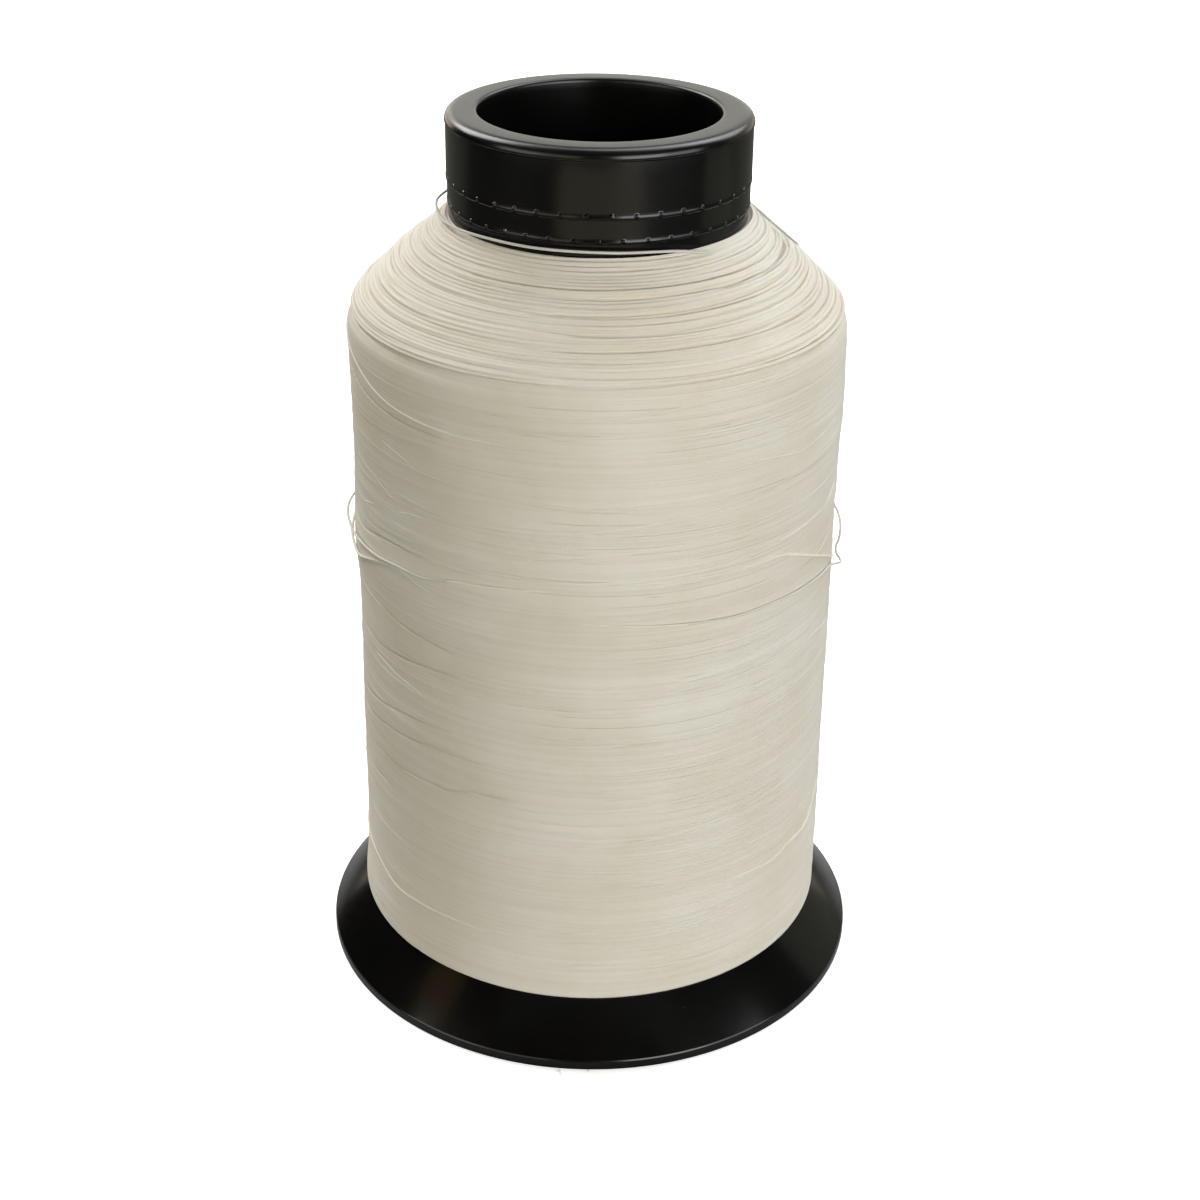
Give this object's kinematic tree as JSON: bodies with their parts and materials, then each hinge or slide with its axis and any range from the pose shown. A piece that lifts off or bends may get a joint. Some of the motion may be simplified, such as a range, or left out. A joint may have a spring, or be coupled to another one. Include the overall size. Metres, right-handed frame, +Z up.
{
  "type": "cone of thread",
  "caption": "Flanged spool of ivory sewing thread: black moulded tube with a collar and a flared foot, a wound package with a domed shoulder, and two slack strands.",
  "frame": {"origin": "centre of the foot, on the surface that the spool stands on", "axes": "+Z up along the spool's axis, -Y towards the viewer"},
  "size_m": [0.0728, 0.0728, 0.115],
  "materials": {
    "black_plastic": "moulded black plastic with a soft sheen",
    "ivory_thread": "smooth ivory thread, wound close"
  },
  "bodies": {
    "root": {"spool_tube": "black_plastic", "flared_foot": "black_plastic", "thread_package": "ivory_thread", "end_strand": "ivory_thread", "slack_strand": "ivory_thread"}
  },
  "joints": []
}
